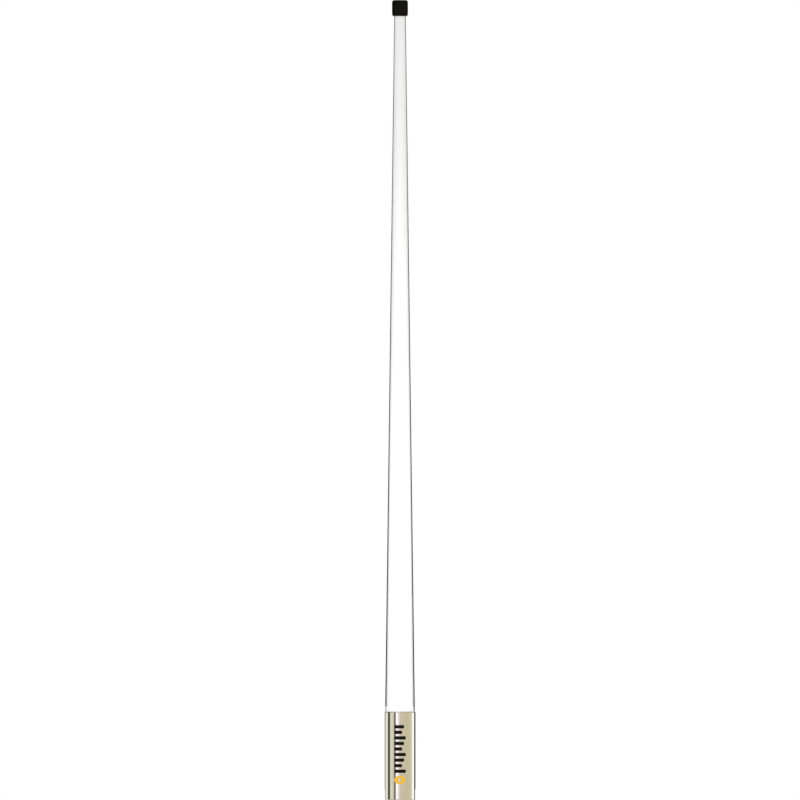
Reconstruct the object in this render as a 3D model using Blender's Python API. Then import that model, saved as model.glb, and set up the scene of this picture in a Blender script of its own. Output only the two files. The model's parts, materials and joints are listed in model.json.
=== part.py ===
"""An omnidirectional whip antenna: a tapered fibreglass tube in a polished ferrule, with a collinear
radiating stack inside it.

Everything is in metres. The antenna stands along +Z, and its origin is the centre of the ferrule's
bottom face. The front, which carries the marking, faces -Y.
"""

import math

import bmesh
import bpy
from mathutils import Matrix

# Driving dimensions

OVERALL_HEIGHT = 1.0
GAP = 0.0003  # left between pieces that touch or nest
WAVELENGTH = 0.328  # at the 915 MHz that the stack is cut for

# Ferrule: a 1"-14 marine ferrule, with a socket below its web and the tube's cup above it
FERRULE_RADIUS = 0.0195
FERRULE_HEIGHT = 0.110
FERRULE_EDGE = 0.0006
SOCKET_RADIUS = 0.01175  # minor radius of the 1"-14 female thread
SOCKET_THREAD_LENGTH = 0.032
SOCKET_RELIEF_RADIUS = 0.0129
SOCKET_CHAMFER = 0.0012
WEB_BOTTOM = 0.050
WEB_TOP = 0.058
CUP_RADIUS = 0.0183
WRENCH_FLAT_OFFSET = 0.0188  # from the axis to each flat
WRENCH_FLAT_HEIGHT = 0.014

# Radome tube
TUBE_FOOT_RADIUS = 0.0186
TUBE_NECK_RADIUS = 0.0072  # where the cap starts
TUBE_TOP = 0.9965
BORE_FOOT_RADIUS = 0.016
BORE_TOP_RADIUS = 0.0054

# Sealant bead on the rim
SEALANT_HEIGHT = 0.001
SEALANT_SETBACK = 0.00025  # from the ferrule's outside
SEALANT_TIP = 0.0001

# End cap
CAP_RADIUS = 0.010
CAP_HEIGHT = 0.020
CAP_TOP_ROUND = 0.0022
CAP_LIP_ROUND = 0.001
CAP_BORE_CHAMFER = 0.0004

# Marking on the ferrule's front: a column of bars above a badge
BARS_BOTTOM = 0.0325
BARS_TOP = 0.095
BADGE_BOTTOM = 0.0185
BADGE_TOP = 0.0315
MARK_HALF_ANGLE = math.radians(30)
MARK_THICKNESS = 0.00015
MARK_STEPS = 8

# Coaxial jack in the web, mating end down
JACK_MOUTH = 0.036
JACK_THREAD_RADIUS = 0.0079
JACK_CHAMFER = 0.0006
JACK_RELIEF_LENGTH = 0.0015
JACK_RELIEF_DEPTH = 0.0007
JACK_BARREL_RADIUS = 0.0078
JACK_BORE_RADIUS = 0.0041
JACK_FLANGE_RADIUS = 0.0105
JACK_FLANGE_THICKNESS = 0.0022
JACK_BARREL_TOP = 0.066
JACK_BACK_WALL = 0.001
JACK_STUB_RADIUS = 0.0034
JACK_STUB_TOP = 0.072
CONTACT_RADIUS = 0.0015
CONTACT_BOTTOM = 0.041
CONTACT_SOCKET_RADIUS = 0.0008
CONTACT_SOCKET_DEPTH = 0.005
INSULATOR_BOTTOM = 0.046
O_RING_THICKNESS = 0.001
WASHER_RADIUS = 0.0105
WASHER_THICKNESS = 0.0006
NUT_ACROSS_FLATS = 0.019
NUT_THICKNESS = 0.003

# Internal coaxial feed
CONDUCTOR_RADIUS = 0.00045
DIELECTRIC_RADIUS = 0.00155
JACKET_RADIUS = 0.0025
BRAID_LENGTH = 0.0096
CRIMP_WALL = 0.0007
CRIMP_LENGTH = 0.0094
JACKET_STRIPPED = 0.001  # bare braid between the crimp and the jacket
CONDUCTOR_REACH = 0.012  # past the feed point, inside the first radiator
POTTING_THICKNESS = 0.018
BEAD_RADIUS = 0.0065
BEAD_LENGTH = 0.015
BEAD_CHAMFER = 0.0005
BEAD_BOTTOM = 0.110
BEAD_COUNT = 3
SHRINK_WALL = 0.0005
SHRINK_NECK = 0.004
SHRINK_SHOULDER = 0.002

# Radiating stack
CHOKE_BOTTOM = 0.190
CHOKE_RADIUS = 0.009
CHOKE_WALL = 0.0008
CHOKE_DISC_THICKNESS = 0.002
FEED_BASE_THICKNESS = 0.0054
FEED_BOSS_HEIGHT = 0.006
FEED_SPIGOT_LENGTH = 0.008
FEED_HOLE_DEPTH = 0.003  # of the wide part of its hole, which takes the dielectric
RADIATOR_RADII = (0.0045, 0.0040, 0.0035)
RADIATOR_WALL = 0.0008
ROD_RADIUS = 0.0016
SPIGOT_LENGTH = 0.010
FORMER_LENGTH = 0.026  # from the end of one radiator to the start of the next
FORMER_RADIUS = 0.0042
FORMER_FLANGE_RADIUS = 0.006
FORMER_FLANGE_THICKNESS = 0.0012
COIL_TURNS = 5
COIL_WIRE_RADIUS = 0.0006
COIL_POINTS_PER_TURN = 12
SPACER_THICKNESS = 0.010
TIP_PLUG_LENGTH = 0.018
TIP_PLUG_CLOSED_END = 0.006

# Sides of the turned pieces
OUTER_SIDES = 48
INNER_SIDES = 24
SMALL_SIDES = 16

# Heights that follow from the dimensions above

FERRULE_RIM = FERRULE_HEIGHT
CAP_BOTTOM = OVERALL_HEIGHT - CAP_HEIGHT
QUARTER_WAVE = WAVELENGTH / 4
HALF_WAVE = WAVELENGTH / 2
CHOKE_TOP = CHOKE_BOTTOM + QUARTER_WAVE
DISC_BOTTOM = CHOKE_TOP + GAP
FEED_BOTTOM = DISC_BOTTOM + CHOKE_DISC_THICKNESS + GAP
FEED_BOSS_TOP = FEED_BOTTOM + FEED_BASE_THICKNESS + FEED_BOSS_HEIGHT
JACK_FLANGE_TOP = WEB_BOTTOM - O_RING_THICKNESS - 2 * GAP
JACK_HOLE_RADIUS = JACK_BARREL_RADIUS + GAP
JACK_BORE_TOP = JACK_BARREL_TOP - JACK_BACK_WALL
CRIMP_BOTTOM = JACK_BARREL_TOP + GAP
CRIMP_TOP = CRIMP_BOTTOM + CRIMP_LENGTH
POTTING_BOTTOM = CRIMP_TOP + GAP
JACKET_BOTTOM = POTTING_BOTTOM + JACKET_STRIPPED
FEED_HOLE_TOP = FEED_BOTTOM + FEED_HOLE_DEPTH
BRAID_TOP = CHOKE_TOP - GAP
BRAID_BOTTOM = BRAID_TOP - BRAID_LENGTH


def tube_radius(height):
    """Outer radius of the radome tube above the ferrule's rim."""
    foot = FERRULE_RIM + GAP
    share = (height - foot) / (CAP_BOTTOM - foot)
    return TUBE_FOOT_RADIUS + share * (TUBE_NECK_RADIUS - TUBE_FOOT_RADIUS)


def bore_radius(height):
    """Inner radius of the radome tube, which is straight below the ferrule's rim."""
    share = max(0.0, (height - FERRULE_RIM) / (TUBE_TOP - FERRULE_RIM))
    return BORE_FOOT_RADIUS + share * (BORE_TOP_RADIUS - BORE_FOOT_RADIUS)


# Modelling helpers


def clear_scene():
    """Remove every object that is already in the scene."""
    for thing in list(bpy.data.objects):
        bpy.data.objects.remove(thing, do_unlink=True)


def finish(name, colour, roughness, metallic=0.0):
    """A Principled material."""
    material = bpy.data.materials.new(name)
    material.use_nodes = True
    shader = material.node_tree.nodes["Principled BSDF"]
    shader.inputs["Base Color"].default_value = (*colour, 1.0)
    shader.inputs["Roughness"].default_value = roughness
    shader.inputs["Metallic"].default_value = metallic
    return material


def datum(name, height, parent=None):
    """An empty on the antenna's axis, which the pieces of one group are placed from."""
    empty = bpy.data.objects.new(name, None)
    bpy.context.scene.collection.objects.link(empty)
    empty.empty_display_size = 0.01
    empty.parent = parent
    empty.location.z = height - (parent.location.z if parent else 0.0)
    return empty


def place(name, data, material, parent):
    """Link an object whose data is in the parent's own space."""
    thing = bpy.data.objects.new(name, data)
    bpy.context.scene.collection.objects.link(thing)
    if material:
        data.materials.append(material)
    thing.parent = parent
    return thing


def mesh_from(work, name):
    """Turn a bmesh into a smooth-shaded mesh with its sharp edges kept."""
    bmesh.ops.recalc_face_normals(work, faces=work.faces)
    mesh = bpy.data.meshes.new(name)
    work.to_mesh(mesh)
    work.free()
    mesh.shade_smooth()
    mesh.set_sharp_from_angle(angle=math.radians(35))
    return mesh


def turned(name, outline, material, parent, base=0.0, sides=INNER_SIDES):
    """A piece turned about the antenna's axis.

    The outline is a list of (radius, height above the origin) once round the piece's section. One that
    starts and ends on the axis makes a solid piece, and any other makes a ring. The object's origin is on
    the axis at the height of base.
    """
    ring = outline[0][0] > 0
    work = bmesh.new()
    corners = [work.verts.new((radius, 0.0, height - base)) for radius, height in outline]
    pairs = list(zip(corners, corners[1:]))
    if ring:
        pairs.append((corners[-1], corners[0]))
    edges = [work.edges.new(pair) for pair in pairs]
    bmesh.ops.spin(
        work,
        geom=corners + edges,
        axis=(0, 0, 1),
        cent=(0, 0, 0),
        angle=2 * math.pi,
        steps=sides,
        use_merge=True,
    )
    bmesh.ops.remove_doubles(work, verts=work.verts, dist=1e-7)
    piece = place(name, mesh_from(work, name), material, parent)
    piece.location.z = base - parent.matrix_world.translation.z
    return piece


def tube_outline(inner, outer, bottom, top):
    """The section of a plain ring."""
    return [(outer, bottom), (outer, top), (inner, top), (inner, bottom)]


def rod_outline(radius, bottom, top):
    """The section of a plain solid rod."""
    return [(0.0, bottom), (radius, bottom), (radius, top), (0.0, top)]


def corner_arc(radius, height, round_radius, start, end, steps=4):
    """Points of a rounded corner about the centre (radius, height), between two angles in degrees."""
    angles = [math.radians(start + (end - start) * i / steps) for i in range(steps + 1)]
    return [
        (radius + round_radius * math.cos(angle), height + round_radius * math.sin(angle))
        for angle in angles
    ]


def cutter(name, mesh, parent):
    """An object that only cuts others."""
    tool = place(name, mesh, None, parent)
    tool.hide_render = True
    tool.display_type = "WIRE"
    return tool


def cut(piece, tool):
    """Cut a piece with a cutter."""
    modifier = piece.modifiers.new("Cut " + tool.name, "BOOLEAN")
    modifier.operation = "DIFFERENCE"
    modifier.solver = "EXACT"
    modifier.object = tool


# Materials

POLISHED_STEEL = ("polished_steel", (0.62, 0.60, 0.55), 0.12, 1.0)
WHITE_GELCOAT = ("white_gelcoat", (0.86, 0.87, 0.87), 0.32)
BLACK_PLASTIC = ("black_plastic", (0.010, 0.010, 0.011), 0.45)
CLEAR_SILICONE = ("clear_silicone", (0.60, 0.58, 0.60), 0.35)
BLACK_INK = ("black_ink", (0.015, 0.014, 0.014), 0.40)
AMBER_INK = ("amber_ink", (0.86, 0.50, 0.06), 0.40)
NICKEL_PLATE = ("nickel_plate", (0.66, 0.61, 0.53), 0.25, 1.0)
GOLD_PLATE = ("gold_plate", (0.90, 0.62, 0.22), 0.22, 1.0)
WHITE_PTFE = ("white_ptfe", (0.82, 0.82, 0.80), 0.45)
BLACK_RUBBER = ("black_rubber", (0.018, 0.018, 0.018), 0.75)
BLACK_PVC = ("black_pvc", (0.022, 0.022, 0.024), 0.55)
POLYETHYLENE = ("polyethylene", (0.72, 0.72, 0.70), 0.50)
TINNED_BRAID = ("tinned_braid", (0.58, 0.57, 0.55), 0.45, 1.0)
COPPER = ("copper", (0.78, 0.33, 0.17), 0.30, 1.0)
BRASS = ("brass", (0.70, 0.48, 0.18), 0.30, 1.0)
EPOXY = ("epoxy", (0.035, 0.032, 0.030), 0.35)
FERRITE = ("ferrite", (0.060, 0.060, 0.064), 0.65)
SHRINK_TUBE = ("shrink_tube", (0.020, 0.020, 0.022), 0.60)
GREY_FOAM = ("grey_foam", (0.30, 0.31, 0.32), 0.95)


# The visible pieces


def build_ferrule(parent):
    """The ferrule: threaded socket, web with the jack's hole, cup for the tube, two wrench flats."""
    edge = FERRULE_RADIUS - FERRULE_EDGE
    outline = [
        (SOCKET_RADIUS + SOCKET_CHAMFER, 0.0),
        (edge, 0.0),
        (FERRULE_RADIUS, FERRULE_EDGE),
        *corner_arc(edge, FERRULE_RIM - FERRULE_EDGE, FERRULE_EDGE, 0, 90, steps=3),
        (CUP_RADIUS, FERRULE_RIM),
        (CUP_RADIUS, WEB_TOP),
        (JACK_HOLE_RADIUS, WEB_TOP),
        (JACK_HOLE_RADIUS, WEB_BOTTOM),
        (SOCKET_RELIEF_RADIUS, WEB_BOTTOM),
        (SOCKET_RELIEF_RADIUS, SOCKET_THREAD_LENGTH),
        (SOCKET_RADIUS, SOCKET_THREAD_LENGTH),
        (SOCKET_RADIUS, SOCKET_CHAMFER),
    ]
    ferrule = turned("ferrule", outline, finish(*POLISHED_STEEL), parent, sides=OUTER_SIDES)
    depth = 0.01
    for side, word in ((-1, "left"), (1, "right")):
        work = bmesh.new()
        bmesh.ops.create_cube(work, size=1.0)
        size = (depth, 2 * FERRULE_RADIUS, 2 * WRENCH_FLAT_HEIGHT)
        middle = (side * (WRENCH_FLAT_OFFSET + depth / 2), 0.0, 0.0)
        work.transform(Matrix.Translation(middle) @ Matrix.Diagonal((*size, 1.0)))
        name = "flat_cutter_" + word
        cut(ferrule, cutter(name, mesh_from(work, name), parent))


def build_radome(parent):
    """The tapered tube, with the spigot that sits in the ferrule's cup."""
    spigot = CUP_RADIUS - GAP
    foot = WEB_TOP + GAP
    shoulder = FERRULE_RIM + GAP
    outline = [
        (spigot, foot),
        (spigot, shoulder),
        (TUBE_FOOT_RADIUS, shoulder),
        (tube_radius(TUBE_TOP), TUBE_TOP),
        (BORE_TOP_RADIUS, TUBE_TOP),
        (BORE_FOOT_RADIUS, FERRULE_RIM),
        (BORE_FOOT_RADIUS, foot),
    ]
    turned("radome_tube", outline, finish(*WHITE_GELCOAT), parent, sides=OUTER_SIDES)


def build_rim_sealant(parent):
    """The bead of sealant in the corner between the ferrule's rim and the tube."""
    bottom = FERRULE_RIM + GAP
    top = bottom + SEALANT_HEIGHT
    inner = TUBE_FOOT_RADIUS + GAP
    outer = FERRULE_RADIUS - SEALANT_SETBACK
    outline = [(inner, bottom), (outer, bottom), (inner + SEALANT_TIP, top), (inner, top)]
    turned("rim_sealant", outline, finish(*CLEAR_SILICONE), parent, sides=OUTER_SIDES)


def build_mark(name, bottom, top, look, parent):
    """One printed mark: a thin film bent round the ferrule's front."""
    inner = FERRULE_RADIUS + GAP
    section = tube_outline(inner, inner + MARK_THICKNESS, bottom, top)
    start = Matrix.Rotation(-math.pi / 2 - MARK_HALF_ANGLE, 4, "Z")
    work = bmesh.new()
    face = work.faces.new([work.verts.new((radius, 0.0, height)) for radius, height in section])
    bmesh.ops.transform(work, matrix=start, verts=work.verts)
    bmesh.ops.spin(
        work,
        geom=[*face.verts, *face.edges, face],
        axis=(0, 0, 1),
        cent=(0, 0, 0),
        angle=2 * MARK_HALF_ANGLE,
        steps=MARK_STEPS,
    )
    place(name, mesh_from(work, name), finish(*look), parent)


def build_end_cap(parent):
    """The push-on cap. Its bore follows the tube's taper."""
    lip = tube_radius(CAP_BOTTOM) + GAP
    roof = TUBE_TOP + GAP
    outline = [
        (0.0, roof),
        (tube_radius(roof) + GAP, roof),
        (lip, CAP_BOTTOM + CAP_BORE_CHAMFER),
        (lip + CAP_BORE_CHAMFER, CAP_BOTTOM),
        *corner_arc(CAP_RADIUS - CAP_LIP_ROUND, CAP_BOTTOM + CAP_LIP_ROUND, CAP_LIP_ROUND, -90, 0, steps=3),
        *corner_arc(CAP_RADIUS - CAP_TOP_ROUND, OVERALL_HEIGHT - CAP_TOP_ROUND, CAP_TOP_ROUND, 0, 90),
        (0.0, OVERALL_HEIGHT),
    ]
    turned("end_cap", outline, finish(*BLACK_PLASTIC), parent, base=CAP_BOTTOM, sides=OUTER_SIDES)


# The jack in the web


def build_jack_body(parent):
    """The jack's shell: mating thread, flange, barrel through the web, crimp stub."""
    flange_bottom = JACK_FLANGE_TOP - JACK_FLANGE_THICKNESS
    relief_bottom = flange_bottom - JACK_RELIEF_LENGTH
    relief_radius = JACK_THREAD_RADIUS - JACK_RELIEF_DEPTH
    stub_bore = DIELECTRIC_RADIUS + GAP
    outline = [
        (JACK_BORE_RADIUS, JACK_MOUTH),
        (JACK_THREAD_RADIUS - JACK_CHAMFER, JACK_MOUTH),
        (JACK_THREAD_RADIUS, JACK_MOUTH + JACK_CHAMFER),
        (JACK_THREAD_RADIUS, relief_bottom),
        (relief_radius, relief_bottom),
        (relief_radius, flange_bottom),
        (JACK_FLANGE_RADIUS, flange_bottom),
        (JACK_FLANGE_RADIUS, JACK_FLANGE_TOP),
        (JACK_BARREL_RADIUS, JACK_FLANGE_TOP),
        (JACK_BARREL_RADIUS, JACK_BARREL_TOP),
        (JACK_STUB_RADIUS, JACK_BARREL_TOP),
        (JACK_STUB_RADIUS, JACK_STUB_TOP),
        (stub_bore, JACK_STUB_TOP),
        (stub_bore, JACK_BARREL_TOP),
        (JACK_BORE_RADIUS, JACK_BORE_TOP),
    ]
    turned("jack_body", outline, finish(*NICKEL_PLATE), parent, base=JACK_FLANGE_TOP)


def build_jack_inside(parent):
    """The jack's insulator and its female centre contact."""
    top = JACK_BORE_TOP - GAP
    outline = tube_outline(CONTACT_RADIUS + GAP, JACK_BORE_RADIUS - GAP, INSULATOR_BOTTOM, top)
    turned("jack_insulator", outline, finish(*WHITE_PTFE), parent, base=JACK_FLANGE_TOP)
    socket_end = CONTACT_BOTTOM + CONTACT_SOCKET_DEPTH
    outline = [
        (0.0, socket_end),
        (CONTACT_SOCKET_RADIUS, socket_end),
        (CONTACT_SOCKET_RADIUS, CONTACT_BOTTOM),
        (CONTACT_RADIUS, CONTACT_BOTTOM),
        (CONTACT_RADIUS, top),
        (0.0, top),
    ]
    contact = finish(*GOLD_PLATE)
    turned("jack_contact", outline, contact, parent, base=JACK_FLANGE_TOP, sides=SMALL_SIDES)


def build_jack_fixings(parent):
    """The sealing ring under the flange, and the washer and nut on the cup's side of the web."""
    ring_radius = O_RING_THICKNESS / 2
    middle = JACK_BARREL_RADIUS + GAP + ring_radius
    height = WEB_BOTTOM - GAP - ring_radius
    outline = corner_arc(middle, height, ring_radius, 0, 300, steps=5)
    turned("jack_o_ring", outline, finish(*BLACK_RUBBER), parent, base=JACK_FLANGE_TOP)

    washer_bottom = WEB_TOP + GAP
    washer_top = washer_bottom + WASHER_THICKNESS
    outline = tube_outline(JACK_HOLE_RADIUS, WASHER_RADIUS, washer_bottom, washer_top)
    turned("jack_washer", outline, finish(*NICKEL_PLATE), parent, base=JACK_FLANGE_TOP)
    build_jack_nut(parent, washer_top + GAP)


def build_jack_nut(parent, bottom):
    """The hexagon nut: a hexagon prism with its hole cut through."""
    corner_radius = NUT_ACROSS_FLATS / 2 / math.cos(math.pi / 6)
    shapes = []
    for name, radius, sides, length in (
        ("jack_nut", corner_radius, 6, NUT_THICKNESS),
        ("nut_hole_cutter", JACK_HOLE_RADIUS, INNER_SIDES, 3 * NUT_THICKNESS),
    ):
        work = bmesh.new()
        bmesh.ops.create_cone(
            work, cap_ends=True, segments=sides, radius1=radius, radius2=radius, depth=length
        )
        shapes.append(mesh_from(work, name))
    nut = place("jack_nut", shapes[0], finish(*NICKEL_PLATE), parent)
    nut.location.z = bottom + NUT_THICKNESS / 2 - parent.matrix_world.translation.z
    tool = cutter("nut_hole_cutter", shapes[1], parent)
    tool.location.z = nut.location.z
    cut(nut, tool)


# The internal feed


def build_coax(parent):
    """The feed cable: jacket, braid laid bare at its top, dielectric and centre conductor."""
    inner = DIELECTRIC_RADIUS + GAP
    jacket_top = BRAID_BOTTOM - GAP
    dielectric_top = FEED_HOLE_TOP - GAP
    pieces = (
        ("coax_jacket", inner, JACKET_RADIUS, JACKET_BOTTOM, jacket_top, BLACK_PVC),
        ("coax_braid", inner, JACKET_RADIUS, BRAID_BOTTOM, BRAID_TOP, TINNED_BRAID),
        (
            "coax_dielectric",
            CONDUCTOR_RADIUS + GAP,
            DIELECTRIC_RADIUS,
            JACK_BARREL_TOP + GAP,
            dielectric_top,
            POLYETHYLENE,
        ),
    )
    for name, inside, outside, bottom, top, look in pieces:
        outline = tube_outline(inside, outside, bottom, top)
        turned(name, outline, finish(*look), parent, base=bottom, sides=SMALL_SIDES)
    foot = JACK_BORE_TOP
    tip = FEED_BOSS_TOP + CONDUCTOR_REACH
    outline = rod_outline(CONDUCTOR_RADIUS, foot, tip)
    turned("coax_conductor", outline, finish(*COPPER), parent, base=foot, sides=SMALL_SIDES)


def build_feed_fittings(parent):
    """The crimp sleeve, the epoxy plug, and the ferrite beads in their shrink sleeve."""
    inner = JACK_STUB_RADIUS + GAP
    outline = tube_outline(inner, inner + CRIMP_WALL, CRIMP_BOTTOM, CRIMP_TOP)
    material = finish(*NICKEL_PLATE)
    turned("crimp_sleeve", outline, material, parent, base=CRIMP_BOTTOM, sides=SMALL_SIDES)

    inner = JACKET_RADIUS + GAP
    top = POTTING_BOTTOM + POTTING_THICKNESS
    outline = tube_outline(inner, BORE_FOOT_RADIUS - GAP, POTTING_BOTTOM, top)
    turned("potting_plug", outline, finish(*EPOXY), parent, base=POTTING_BOTTOM)

    for number in range(BEAD_COUNT):
        bottom = BEAD_BOTTOM + number * (BEAD_LENGTH + GAP)
        top = bottom + BEAD_LENGTH
        outline = [
            (inner, bottom),
            (BEAD_RADIUS - BEAD_CHAMFER, bottom),
            (BEAD_RADIUS, bottom + BEAD_CHAMFER),
            (BEAD_RADIUS, top - BEAD_CHAMFER),
            (BEAD_RADIUS - BEAD_CHAMFER, top),
            (inner, top),
        ]
        name = f"ferrite_bead_{number + 1}"
        turned(name, outline, finish(*FERRITE), parent, base=bottom, sides=SMALL_SIDES)
    build_shrink_sleeve(parent, inner, BEAD_BOTTOM, top)


def build_shrink_sleeve(parent, neck, bottom, top):
    """The shrink sleeve over the beads, necked down to the cable at both ends."""
    body = BEAD_RADIUS + GAP
    inside = [
        (neck, bottom - SHRINK_SHOULDER - SHRINK_NECK),
        (neck, bottom - SHRINK_SHOULDER),
        (body, bottom - GAP),
        (body, top + GAP),
        (neck, top + SHRINK_SHOULDER),
        (neck, top + SHRINK_SHOULDER + SHRINK_NECK),
    ]
    outside = [(radius + SHRINK_WALL, height) for radius, height in reversed(inside)]
    material = finish(*SHRINK_TUBE)
    turned("bead_shrink_sleeve", inside + outside, material, parent, base=bottom, sides=SMALL_SIDES)


# The radiating stack


def build_choke(parent):
    """The quarter-wave sleeve round the feed, and the disc that joins it to the braid."""
    outline = tube_outline(CHOKE_RADIUS - CHOKE_WALL, CHOKE_RADIUS, CHOKE_BOTTOM, CHOKE_TOP)
    turned("choke_sleeve", outline, finish(*BRASS), parent, base=CHOKE_BOTTOM)
    top = DISC_BOTTOM + CHOKE_DISC_THICKNESS
    outline = tube_outline(DIELECTRIC_RADIUS + GAP, CHOKE_RADIUS, DISC_BOTTOM, top)
    turned("choke_end_disc", outline, finish(*BRASS), parent, base=DISC_BOTTOM)


def build_feed_insulator(parent):
    """The insulator between the choke and the first radiator, with a spigot into that radiator."""
    base_top = FEED_BOTTOM + FEED_BASE_THICKNESS
    spigot = RADIATOR_RADII[0] - RADIATOR_WALL - GAP
    spigot_top = FEED_BOSS_TOP + FEED_SPIGOT_LENGTH
    wide_hole = DIELECTRIC_RADIUS + GAP
    narrow_hole = CONDUCTOR_RADIUS + GAP
    outline = [
        (wide_hole, FEED_BOTTOM),
        (CHOKE_RADIUS, FEED_BOTTOM),
        (CHOKE_RADIUS, base_top),
        (RADIATOR_RADII[0], base_top),
        (RADIATOR_RADII[0], FEED_BOSS_TOP),
        (spigot, FEED_BOSS_TOP),
        (spigot, spigot_top),
        (narrow_hole, spigot_top),
        (narrow_hole, FEED_HOLE_TOP),
        (wide_hole, FEED_HOLE_TOP),
    ]
    turned("feed_insulator", outline, finish(*WHITE_PTFE), parent, base=FEED_BOTTOM)


def former_outline(bottom, top, lower_spigot, upper_spigot, upper_socket):
    """The section of a coil's bobbin: a spigot into the radiator below, and above it either a spigot
    into the next one or a socket for the rod."""
    outline = [
        (0.0, bottom - SPIGOT_LENGTH),
        (lower_spigot, bottom - SPIGOT_LENGTH),
        (lower_spigot, bottom),
        (FORMER_FLANGE_RADIUS, bottom),
        (FORMER_FLANGE_RADIUS, bottom + FORMER_FLANGE_THICKNESS),
        (FORMER_RADIUS, bottom + FORMER_FLANGE_THICKNESS),
        (FORMER_RADIUS, top - FORMER_FLANGE_THICKNESS),
        (FORMER_FLANGE_RADIUS, top - FORMER_FLANGE_THICKNESS),
        (FORMER_FLANGE_RADIUS, top),
    ]
    if upper_socket:
        depth = top - SPIGOT_LENGTH - GAP
        return outline + [(upper_socket, top), (upper_socket, depth), (0.0, depth)]
    end = top + SPIGOT_LENGTH
    return outline + [(upper_spigot, top), (upper_spigot, end), (0.0, end)]


def build_coil(name, parent, bottom, top):
    """A phasing coil: bare wire wound on its bobbin, between the bobbin's flanges."""
    inset = FORMER_FLANGE_THICKNESS + GAP + COIL_WIRE_RADIUS
    start = bottom + inset
    rise = top - inset - start
    radius = FORMER_RADIUS + GAP + COIL_WIRE_RADIUS
    count = COIL_TURNS * COIL_POINTS_PER_TURN
    curve = bpy.data.curves.new(name, "CURVE")
    curve.dimensions = "3D"
    curve.bevel_depth = COIL_WIRE_RADIUS
    curve.bevel_resolution = 1
    curve.use_fill_caps = True
    spline = curve.splines.new("POLY")
    spline.points.add(count)
    for step, point in enumerate(spline.points):
        angle = 2 * math.pi * step / COIL_POINTS_PER_TURN
        height = rise * step / count
        point.co = (radius * math.cos(angle), radius * math.sin(angle), height, 1.0)
    coil = place(name, curve, finish(*COPPER), parent)
    coil.location.z = start - parent.matrix_world.translation.z


def build_stack(parent):
    """Radiators, bobbins and coils from the feed point up, and the rod on top. Returns the rod's tip."""
    bottom = FEED_BOSS_TOP + GAP
    top = FEED_BOSS_TOP + QUARTER_WAVE
    for number, radius in enumerate(RADIATOR_RADII, start=1):
        outline = tube_outline(radius - RADIATOR_WALL, radius, bottom, top)
        turned(f"radiator_{number}", outline, finish(*BRASS), parent, base=bottom)
        last = number == len(RADIATOR_RADII)
        lower_spigot = radius - RADIATOR_WALL - GAP
        upper_spigot = 0.0 if last else RADIATOR_RADII[number] - RADIATOR_WALL - GAP
        upper_socket = ROD_RADIUS + GAP if last else 0.0
        former_bottom = top + GAP
        former_top = top + FORMER_LENGTH - GAP
        outline = former_outline(former_bottom, former_top, lower_spigot, upper_spigot, upper_socket)
        name = f"coil_former_{number}"
        turned(name, outline, finish(*WHITE_PTFE), parent, base=former_bottom, sides=SMALL_SIDES)
        build_coil(f"phasing_coil_{number}", parent, former_bottom, former_top)
        bottom = top + FORMER_LENGTH
        top = bottom + HALF_WAVE
    rod_bottom = bottom - GAP - SPIGOT_LENGTH
    outline = rod_outline(ROD_RADIUS, rod_bottom, top)
    turned("radiator_4", outline, finish(*BRASS), parent, base=rod_bottom, sides=SMALL_SIDES)
    return top


def build_foam(parent, rod_tip):
    """The foam discs that centre the feed and the stack in the tube, and the foam plug on the rod's tip."""
    held = (
        (0.166, JACKET_RADIUS),
        (0.225, CHOKE_RADIUS),
        (0.325, RADIATOR_RADII[0]),
        (0.470, RADIATOR_RADII[1]),
        (0.660, RADIATOR_RADII[2]),
        (0.850, ROD_RADIUS),
    )
    for number, (bottom, radius) in enumerate(held, start=1):
        top = bottom + SPACER_THICKNESS
        outline = tube_outline(radius + GAP, bore_radius(top) - GAP, bottom, top)
        turned(f"foam_spacer_{number}", outline, finish(*GREY_FOAM), parent, base=bottom)

    roof = rod_tip + GAP
    top = roof + TIP_PLUG_CLOSED_END
    bottom = top - TIP_PLUG_LENGTH
    outer = bore_radius(top) - GAP
    outline = [
        (0.0, roof),
        (ROD_RADIUS + GAP, roof),
        (ROD_RADIUS + GAP, bottom),
        (outer, bottom),
        (outer, top),
        (0.0, top),
    ]
    turned("tip_plug", outline, finish(*GREY_FOAM), parent, base=bottom)


def main():
    clear_scene()
    antenna = datum("antenna_datum", 0.0)
    jack = datum("jack_datum", JACK_FLANGE_TOP, antenna)
    feed = datum("feed_datum", JACKET_BOTTOM, antenna)
    stack = datum("stack_datum", FEED_BOTTOM, antenna)
    cap = datum("cap_slide_datum", CAP_BOTTOM, antenna)
    bpy.context.view_layer.update()  # so that the datums' world positions can be read

    build_ferrule(antenna)
    build_radome(antenna)
    build_rim_sealant(antenna)
    build_mark("marking_bars", BARS_BOTTOM, BARS_TOP, BLACK_INK, antenna)
    build_mark("marking_badge", BADGE_BOTTOM, BADGE_TOP, AMBER_INK, antenna)
    build_end_cap(cap)

    build_jack_body(jack)
    build_jack_inside(jack)
    build_jack_fixings(jack)

    build_coax(feed)
    build_feed_fittings(feed)

    build_choke(stack)
    build_feed_insulator(stack)
    rod_tip = build_stack(stack)
    build_foam(antenna, rod_tip)


main()
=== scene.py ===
"""The looks of a fibreglass whip antenna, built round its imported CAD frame.

The pieces' sizes are in millimetres, and those of the materials and the studio in metres. An outline is a
turned piece's section, as (radius, height) or (radius, height, corner round) points. The antenna stands
along +Z on the origin, and its marked front faces -Y, where the camera is.
"""

import functools
import json
import math

import bmesh
import bpy
from mathutils import Matrix, Vector, noise


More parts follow.
